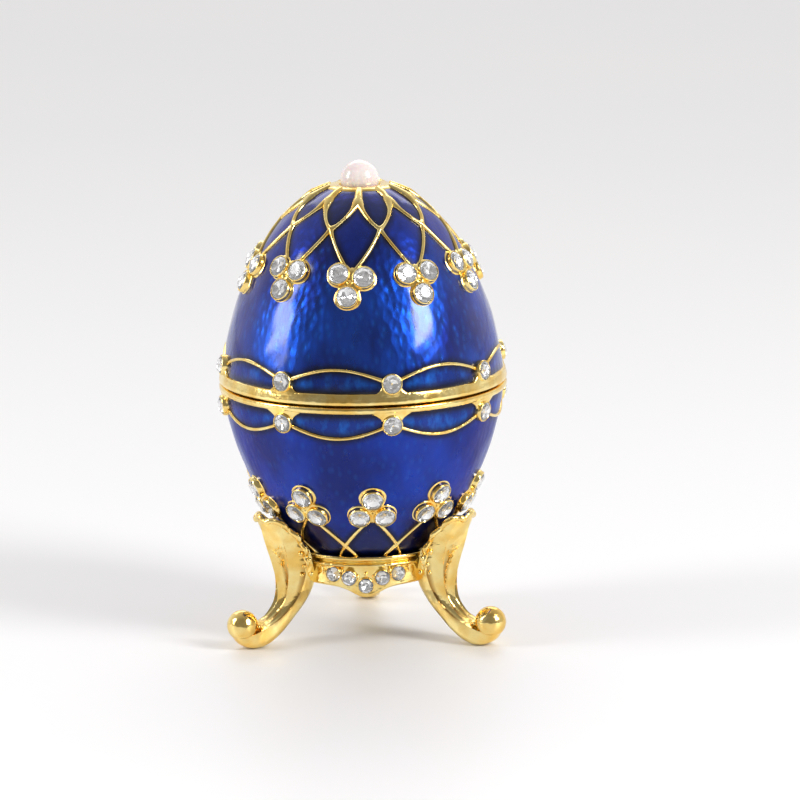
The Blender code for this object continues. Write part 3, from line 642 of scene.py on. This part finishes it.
def bandStones(height, half, way):
    # one stone where two arches meet, in a collar with a neck to the rim
    parts = []
    for number in range(band["count"]):
        azimuth = band["turn"] + bandPitch * number
        place = standing(azimuth, height)
        parts.append(collar(place, collarProfile(setting["bandStone"])))
        parts.append(surface(neck(azimuth, height, way), poles=True))
        name = f"{half}_band_stone_{number + 1}"
        setStone(name, place, setting["bandStone"], [name])
    return parts


lidSettings = clusterStones(lattice["lidTurn"], lattice["lidCluster"], 1, "lid")
lidSettings += bandStones(band["lid"], "lid", -1)
bowlSettings = clusterStones(lattice["bowlTurn"], lattice["bowlCluster"], -1, "bowl")
bowlSettings += bandStones(band["bowl"], "bowl", 1)
print("stones set")


def wired(lines, seed):
    # cords of uneven width, half of whose rise grows with the width
    parts = []
    for number, (azimuth, height, width) in enumerate(lines):
        width = width * uneven(len(width), seed + number, lattice["lineUneven"])
        rise = lattice["lineRise"] * 0.5 * (1 + width / lattice["lineWidth"])
        parts.append(goldLine(azimuth, height, width, rise))
    return parts


pearl = {"radius": 2.9, "height": 69.0754, "gap": 0.3, "unround": 0.006}
metal = {
    "wall": 1.5, "underEnamel": 0.7, "seamGap": 0.15, "straight": 2.4,
    "lipGap": 0.3, "lipWall": 0.9, "lipRise": 2.0, "base": 8.2423, "floor": 1.95,
}
seam, rimOut = egg["seamHeight"], egg["seamRadius"]
cupBall = pearl["radius"] + pearl["gap"]
cupEdge = lattice["cupHeight"] + seam

# sections of the two rims, as distances from the seam's edge
lidRim = [(-0.6, 1.9), (0.05, 1.88), (0.26, 1.74), (0.36, 1.4), (0.44, 1.0), (0.5, 0.6), (0.44, 0.28),
          (0.1, 0.15), (-0.6, 0.15)]
bowlRim = [(-0.6, -0.15), (0.1, -0.15), (0.4, -0.22), (0.5, -0.45), (0.5, -0.72), (0.4, -0.95), (0.2, -1.12),
           (-0.1, -1.2), (-0.6, -1.2)]


def rim(profile):
    # a smooth closed section carried round the seam
    return turned([(rimOut + r, seam + h) for r, h in smoothLine(profile, 3, closed=True)])


def lidBody():
    # section from the cup's bottom over its edge and down the wall under the enamel to the seam, then up
    # inside, where the radius is bore * (1 - share^lidBelly)^lidCrown
    cupTurn = np.radians(np.linspace(-86, -12.7, 10))
    cup = [(cupBall * math.cos(a), pearl["height"] + cupBall * math.sin(a)) for a in cupTurn]
    edge = [(cupBall + 0.1, cupEdge - 0.02), (cupBall + 0.3, cupEdge + 0.06), (cupBall + 0.6, cupEdge + 0.06),
            (4.2, seam + 29.6), (4.7, seam + 29.5), (5.1, seam + 29.3), (5.25, seam + 28.9)]
    height = evenHeights(metal["seamGap"], lattice["cupHeight"] - 0.8, 30)[::-1]
    wall = [(eggRadius(h) - metal["underEnamel"], seam + h) for h in height]
    ceiling = pearl["height"] - cupBall - metal["wall"]
    bore, foot = rimOut - metal["wall"], seam + metal["seamGap"]
    shoulder = foot + metal["straight"]
    inside = [(bore * (1 - s ** egg["lidBelly"]) ** egg["lidCrown"], shoulder + (ceiling - shoulder) * s)
              for s in np.sin(np.linspace(0, 0.5 * np.pi * 0.995, 24))]
    return turned(cup + edge + wall + [(bore, foot)] + inside, poles=True)


def bowlBody():
    # section up the inner wall, where the radius is inner * (1 - share^bowlBelly)^bowlCrown, over the lip
    # that centres the lid, out on the ledge at the seam and down the wall under the enamel
    lip = rimOut - metal["wall"] - metal["lipGap"]
    inner, ledge, base = lip - metal["lipWall"], seam - metal["seamGap"], metal["base"]
    floor, shoulder, lipTop = base + metal["floor"], ledge - metal["straight"], ledge + metal["lipRise"]
    inside = [(inner * (1 - s ** egg["bowlBelly"]) ** egg["bowlCrown"], shoulder - (shoulder - floor) * s)
              for s in np.sin(np.linspace(0.5 * np.pi * 0.995, 0, 24))]
    top = [(inner, lipTop - 0.2), (inner + 0.2, lipTop), (lip - 0.2, lipTop), (lip, lipTop - 0.2),
           (lip, ledge + 0.05), (lip + 0.3, ledge), (rimOut - 0.1, ledge)]
    wall = [(eggRadius(h) - metal["underEnamel"], seam + h) for h in evenHeights(-0.6, -29.5, 30)]
    return turned(inside + top + wall + [(3.0, base + 0.05), (0.2, base)], poles=True)


lidCords = wired(lidLines, 1) + wired(lidArches, 300)
makePiece("lid_gold", [lidBody(), rim(lidRim)] + lidCords + lidSettings, [gold], ["lid"], sharp=50)
bowlCords = wired(bottomLines, 400) + wired(bowlArches, 500)
makePiece("bowl_gold", [bowlBody(), rim(bowlRim)] + bowlCords + bowlSettings, [gold], ["bowl"],
          sharp=50)
print("lid and bowl finished")

# a pearl isn't quite round: radius * (1 - unround * (1 + sin(3 * turn + 2 * tilt)))
turn, tilt = circle(72), np.radians(np.linspace(-89, 89, 40))[:, None]
size = pearl["radius"] * (1 - pearl["unround"] * (1 + np.sin(3 * turn + 2 * tilt)))
knob = aroundAxis(turn, size * np.cos(tilt), pearl["height"] + size * np.sin(tilt))
makePiece("pearl_knob", [surface(knob, poles=True)], [pearlLustre], ["pearl"])
print("pearl seated")

stand = {
    "ringTop": 14.0, "radius": 11.5, "bore": 9.4, "apronSide": 9.3, "apronTip": 7.7, "apronAngle": 14.0,
    "stoneAngle": 12.6, "stoneTop": 11.2, "stoneDrop": 1.6, "stoneRadius": 10.75,
    "grain": 0.3, "grainRadius": 11.18, "grains": (  # as steps of stoneAngle, and height
        (-1.5, 11.75), (-0.5, 10.95), (0.5, 10.95), (1.5, 11.75), (0, 11.35), (-2.6, 11.4), (2.6, 11.4)),
    "firstLeg": 60, "legs": 3, "legWidth": 7.8, "leafTip": 19.9, "footRadius": 21.4,
    "ball": 2.33, "ballHeight": 3.65, "legRows": 8, "legColumns": 37, "leafEnd": 5,
    "flute": 1.2, "lobe": 0.16, "ruffle": 1.0, "edgeRise": 0.28, "lip": 0.48,
}
# stations down a leg: outer reach and height, inner reach and height, outer and inner width, curl, as shares
legStations = np.array((
    (0.665, 1.000, 0.54, 0.975, 0.36, 0.32, 0.35), (0.66, 0.940, 0.42, 0.905, 0.92, 0.82, 0.62),
    (0.62, 0.850, 0.32, 0.820, 1.13, 1.00, 0.78), (0.56, 0.750, 0.20, 0.730, 1.15, 0.96, 0.82),
    (0.49, 0.643, 0.05, 0.640, 1.02, 0.78, 0.82), (0.43, 0.533, -0.10, 0.545, 0.86, 0.66, 0.75),
    (0.39, 0.422, -0.10, 0.430, 0.71, 0.60, 0.55), (0.41, 0.322, 0.02, 0.310, 0.60, 0.56, 0.35),
    (0.51, 0.241, 0.20, 0.205, 0.55, 0.55, 0.20), (0.65, 0.181, 0.40, 0.098, 0.53, 0.54, 0.10),
    (0.79, 0.140, 0.63, 0.015, 0.51, 0.53, 0.00), (0.93, 0.120, 0.88, 0.000, 0.47, 0.47, 0.00),
    (1.07, 0.125, 1.085, 0.050, 0.38, 0.34, 0.00), (1.16, 0.165, 1.18, 0.145, 0.20, 0.16, 0.00)))
# grains where the leaf opens, and in the crease behind the ball: across, outwards, height, radius
legGrains = (
    (3.9, 13.4, 14.3, 0.42), (4.3, 12.2, 13.3, 0.38), (3.5, 12.6, 12.2, 0.35), (4.5, 12.0, 11.2, 0.35),
    (3.3, 12.9, 10.9, 0.3), (0.5, 19.15, 3.3, 0.36), (1.2, 19.3, 3.35, 0.34), (0.9, 18.75, 3.15, 0.3))


def ring():
    # moulded section carried round the axis; its lower edge is level beside the legs, with a hill down to a
    # soft point in the middle of each apron
    azimuth = np.linspace(-180, 180, 360, endpoint=False)
    away = (azimuth + 60) % 120 - 60
    edge = stand["apronSide"] - hill(away, stand["apronSide"] - stand["apronTip"], stand["apronAngle"])
    top, r, bore = stand["ringTop"], stand["radius"], stand["bore"]
    moulding = [(bore, 12.45), (9.97, 13.0), (10.75, 13.85), (10.95, top), (r - 0.1, top - 0.02),
                (r + 0.06, top - 0.3), (r - 0.05, top - 0.58), (r - 0.6, top - 0.8), (r - 0.62, top - 1.0),
                (r - 0.15, top - 1.2), (r - 0.1, top - 1.5), (r - 0.5, top - 1.78)]
    overEdge = [(r - 0.42, 1.4), (r - 0.4, 0.7), (r - 0.38, 0.3), (r - 0.6, 0.02), (r - 1.0, -0.02),
                (bore + 0.2, 0.2), (bore, 0.8)]
    rows = [np.stack([0 * edge + radius, 0 * edge + height], -1) for radius, height in moulding]
    rows += [np.stack([0 * edge + radius, edge + lift], -1) for radius, lift in overEdge]
    section = smoothLine(np.stack(rows), 3, closed=True)
    return surface(aroundAxis(np.radians(azimuth)[None, :], section[..., 0], section[..., 1]))


def placed(local, azimuth):
    # local points are across, outwards from the axis, and up
    turn = math.radians(azimuth)
    across, out, up = local[..., 0], local[..., 1], local[..., 2]
    return np.stack([out * math.sin(turn) + across * math.cos(turn),
                     axisY - out * math.cos(turn) + across * math.sin(turn), up], -1)


def legGrid():
    # sections along a smooth curve through the stations, each of an outer face and a narrower inner one;
    # outer face for u from -1 to 1: across = half width * lobes * u, inwards = curl * half width * u^2
    # + flute - edge's rise; beside the points it gives how deep in a groove each one lies
    rows = smoothLine(legStations, stand["legRows"])
    place = np.linspace(0, len(legStations) - 1, len(rows))[:, None]
    reach = stand["footRadius"] - stand["radius"]
    outer = np.stack([stand["radius"] + rows[:, 0] * reach, rows[:, 1] * stand["leafTip"]], -1)[:, None]
    inner = np.stack([stand["radius"] + rows[:, 2] * reach, rows[:, 3] * stand["leafTip"]], -1)[:, None]
    thickness = np.linalg.norm(inner - outer, axis=-1, keepdims=True)
    inwards = (inner - outer) / thickness
    leafEnd, columns = stand["leafEnd"], stand["legColumns"]
    leaf = np.clip(leafEnd - place, 0, 1) * np.clip(place / 0.8, 0, 1)
    halfOuter = rows[:, 4:5] * stand["legWidth"] / 2
    halfInner = rows[:, 5:6] * stand["legWidth"] / 2
    curl = rows[:, 6:7]
    u = np.linspace(-1, 1, columns)[None, :]
    waves = np.abs(np.sin(1.5 * np.pi * u))  # 1 in the flutes, 0 on the ridges at u = -2/3, 0 and 2/3
    lobes = 1 - stand["lobe"] * leaf * (0.5 - 0.5 * np.cos(2 * np.pi * place)) * u ** 4
    flute = stand["flute"] * np.clip(np.sin(np.pi * np.clip((place - 1.0) / 8.0, 0, 1)), 0, 1) * waves ** 0.6
    rise = np.clip(leafEnd + 1 - place, 0, 1) * hill(1 - np.abs(u), stand["edgeRise"], 0.14)
    depth = curl * halfOuter * u ** 2 + flute - rise
    face = np.concatenate([(halfOuter * lobes * u)[..., None], outer + inwards * depth[..., None]], -1)
    ruffled = np.clip((leafEnd - 1 - place) / 2, 0, 1) * np.clip(place / 0.5 - 0.6, -0.6, 1)
    face[..., 2] += stand["ruffle"] * u ** 2 * ruffled
    # inner face from edge to edge, as shares of width, depth and curl
    wide = np.array([1.0, 1.0, 0.86, 0.5, 0.0, -0.5, -0.86, -1.0, -1.0])
    shoulder = np.array([0.3, 0.6, 0.84, 0.96, 1.0, 0.96, 0.84, 0.6, 0.3])[None, :]
    bend = np.array([1.0, 1.0, 0.7, 0.25, 0.1, 0.25, 0.7, 1.0, 1.0])[None, :]
    side = thickness[:, 0] * shoulder + curl * halfInner * bend
    half = np.where(np.abs(wide) == 1.0, halfInner * 0.5 + halfOuter * 0.5, halfInner) * wide
    back = np.concatenate([half[..., None], outer + inwards * side[..., None]], -1)
    grid = np.concatenate([face, back], 1)
    grid[..., 2] = np.maximum(grid[..., 2], 0.0)
    groove = np.zeros(grid.shape[:2])
    shank = np.clip(np.minimum((place - 2.5) / 2.5, (9.6 - place) / 1.5), 0, 1)
    groove[:, :columns] = np.clip((waves - 0.72) / 0.28, 0, 1) * shank
    return grid, groove


def leafLip(grid):
    # round cord along the leaf's edge, up one side, over the tip and down the other, thin at both ends:
    # edge + (across * cos + up * sin) * lip
    side, columns = stand["leafEnd"] * stand["legRows"], stand["legColumns"]
    edge = np.concatenate([grid[side:0:-1, 0], grid[0, 0:columns:4], grid[1:side + 1, columns - 1]])
    edge = smoothLine(edge[::2], 3)
    along = unit(np.gradient(edge, axis=0))
    across = unit(np.cross(along, (0.0, 1.0, 0.3)))
    up = np.cross(along, across)
    turn, count = circle(10)[..., None], np.arange(len(edge))
    ends = np.clip(np.minimum(count, count[::-1]) / 20 + 0.3, 0, 1)
    size = (stand["lip"] * uneven(len(edge), 77, 0.05) * ends)[:, None, None]
    return edge[:, None] + (across[:, None] * np.cos(turn) + up[:, None] * np.sin(turn)) * size


def ball(middle, radius, columns=12, rows=7, reach=80):
    # middle + radius * (cos tilt * cos turn, cos tilt * sin turn, sin tilt)
    turn, tilt = circle(columns), np.radians(np.linspace(-reach, reach, rows))[:, None]
    sphere = np.stack([np.cos(tilt) * np.cos(turn), np.cos(tilt) * np.sin(turn), np.sin(tilt) + 0 * turn], -1)
    return np.asarray(middle) + radius * sphere


def apronStone(azimuth, height, name):
    # a stone that faces outwards on the ring, in its collar
    turn = np.radians(azimuth)
    girth, out = np.array((np.cos(turn), np.sin(turn), 0)), np.array((np.sin(turn), -np.cos(turn), 0))
    place = (aroundAxis(turn, stand["stoneRadius"], height), girth, np.array((0, 0, 1.0)), out)
    setStone(name, place, setting["apronStone"])
    return collar(place, collarProfile(setting["apronStone"], setting["apronWall"], setting["apronTop"]), 24)


castParts = [ring()]
leg, groove = legGrid()
foot = ball((0, stand["footRadius"], stand["ballHeight"]), stand["ball"], 56, 30, 88)
for number in range(stand["legs"]):
    azimuth = stand["firstLeg"] + 360 / stand["legs"] * number
    castParts.append(surface(placed(leg, azimuth), poles=True, groove=groove.ravel()))
    castParts.append(surface(placed(leafLip(leg), azimuth), poles=True))
    for way in (-1, 1):
        for across, out, up, size in legGrains:
            middle = placed(np.array((way * across, out, up)), azimuth)
            castParts.append(surface(ball(middle, size), poles=True))
    castParts.append(surface(placed(foot, azimuth), poles=True))
    middle = azimuth + 180 / stand["legs"]
    for stone in range(-2, 3):
        height = stand["stoneTop"] - stand["stoneDrop"] * (1 - math.sqrt(abs(stone) / 2))
        name = f"apron_{number + 1}_{stone + 3}"
        castParts.append(apronStone(middle + stand["stoneAngle"] * stone, height, name))
    for step, height in stand["grains"]:
        place = aroundAxis(np.radians(middle + stand["stoneAngle"] * step), stand["grainRadius"], height)
        castParts.append(surface(ball(place, stand["grain"]), poles=True))
makePiece("stand_gold", castParts, [castGold], ["stand"], sharp=50)
print("stand cast")

floorSize = 4.0  # metres from the middle to a side
mesh = bpy.data.meshes.new("floor")
mesh.from_pydata([(-floorSize, -floorSize, 0), (floorSize, -floorSize, 0), (floorSize, floorSize, 0),
                  (-floorSize, floorSize, 0)], [], [(0, 1, 2, 3)])
floor = bpy.data.objects.new("floor", mesh)
bpy.context.scene.collection.objects.link(floor)
floorPaint, nodes, links, shader = newMaterial("pale_floor", Roughness=0.45)
cloud = texture(nodes, links, "Noise", 0.004, Detail=2.0)
links.new(mixed(nodes, links, cloud.outputs["Fac"], (0.86, 0.86, 0.88), (0.90, 0.895, 0.89)),
          shader.inputs["Base Color"])
mesh.materials.append(floorPaint)

# the room darkens overhead and in front, by how far Y + lean * Z lies from low to high
room = {"front": (0.25, 0.243, 0.238), "back": (0.86, 0.845, 0.84), "lean": -0.35, "low": -0.75, "high": 0.45}
world = bpy.data.worlds.new("studio")
bpy.context.scene.world = world
world.use_nodes = True
nodes, links = world.node_tree.nodes, world.node_tree.links
place = nodes.new("ShaderNodeTexCoord")
split = nodes.new("ShaderNodeSeparateXYZ")
links.new(place.outputs["Generated"], split.inputs[0])
fall = nodes.new("ShaderNodeMath")
fall.operation = "MULTIPLY_ADD"
fall.inputs[1].default_value = room["lean"]
links.new(split.outputs["Z"], fall.inputs[0])
links.new(split.outputs["Y"], fall.inputs[2])
share = mapped(nodes, links, fall.outputs[0], room["low"], room["high"], 0, 1)
links.new(mixed(nodes, links, share, room["front"], room["back"]), nodes["Background"].inputs["Color"])
nodes["Background"].inputs["Strength"].default_value = 1.0

target = Vector((0.0, -0.001, 0.036))
softboxes = (  # azimuth, elevation, then distance, width and height in metres, and watts
    ("right_box", 58, 30, 0.7, 0.22, 0.36, 3.3), ("left_box", -78, 26, 0.7, 0.20, 0.42, 2.1),
    ("back_box", 180, 42, 1.8, 1.8, 0.7, 7.5),
)
for name, azimuth, elevation, distance, width, height, watts in softboxes:
    light = bpy.data.lights.new(name, "AREA")
    light.shape, light.size, light.size_y, light.energy = "RECTANGLE", width, height, watts
    lamp = bpy.data.objects.new(name, light)
    a, e = math.radians(azimuth), math.radians(elevation)
    away = Vector((math.sin(a) * math.cos(e), -math.cos(a) * math.cos(e), math.sin(e)))
    lamp.location = target + away * distance
    lamp.rotation_euler = away.to_track_quat("Z", "Y").to_euler()
    bpy.context.scene.collection.objects.link(lamp)

cameraPlace = {"aim": (5.5, 0.0, 35.43), "distance": 600, "elevation": 11.69, "roll": -0.88, "lens": 179.5}
e = math.radians(cameraPlace["elevation"])
aim = Vector(cameraPlace["aim"]) + Vector((0, axisY, 0))
away = Vector((0, -math.cos(e), math.sin(e)))
lens = bpy.data.cameras.new("camera")
lens.lens, lens.sensor_width = cameraPlace["lens"], 36
lens.clip_start, lens.clip_end = 0.01, 20
camera = bpy.data.objects.new("camera", lens)
camera.location = (aim + away * cameraPlace["distance"]) * mm
roll = Quaternion((0, 0, 1), math.radians(cameraPlace["roll"]))
camera.rotation_euler = (away.to_track_quat("Z", "Y") @ roll).to_euler()
bpy.context.scene.collection.objects.link(camera)
bpy.context.scene.camera = camera
bpy.context.scene.view_settings.view_transform = "Standard"  # keeps the cobalt and the gold strong
print("camera and lights placed")
